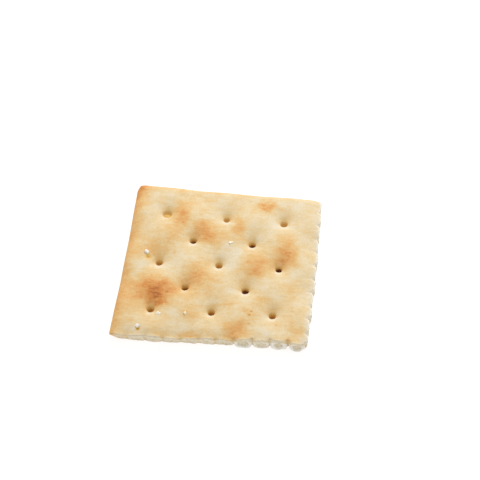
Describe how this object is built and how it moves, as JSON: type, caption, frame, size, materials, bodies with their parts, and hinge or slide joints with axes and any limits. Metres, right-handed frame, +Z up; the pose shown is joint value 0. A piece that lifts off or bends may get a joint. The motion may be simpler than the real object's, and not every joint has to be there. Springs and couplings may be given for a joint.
{
  "type": "saltine cracker",
  "caption": "Thin square salted cracker with docking holes, browned blisters, two smooth baked sides and two scalloped snapped sides.",
  "frame": {"origin": "middle of the cracker's plan box, on the flat underside that it rests on", "axes": "+Z up through the thickness, +X to the right towards one snapped side, +Y to the back towards one smooth baked side"},
  "size_m": [0.0516, 0.0512, 0.0049],
  "materials": {
    "crust": "matte",
    "salt": "satin"
  },
  "bodies": {
    "root": {"cracker": "crust"}
  },
  "joints": []
}
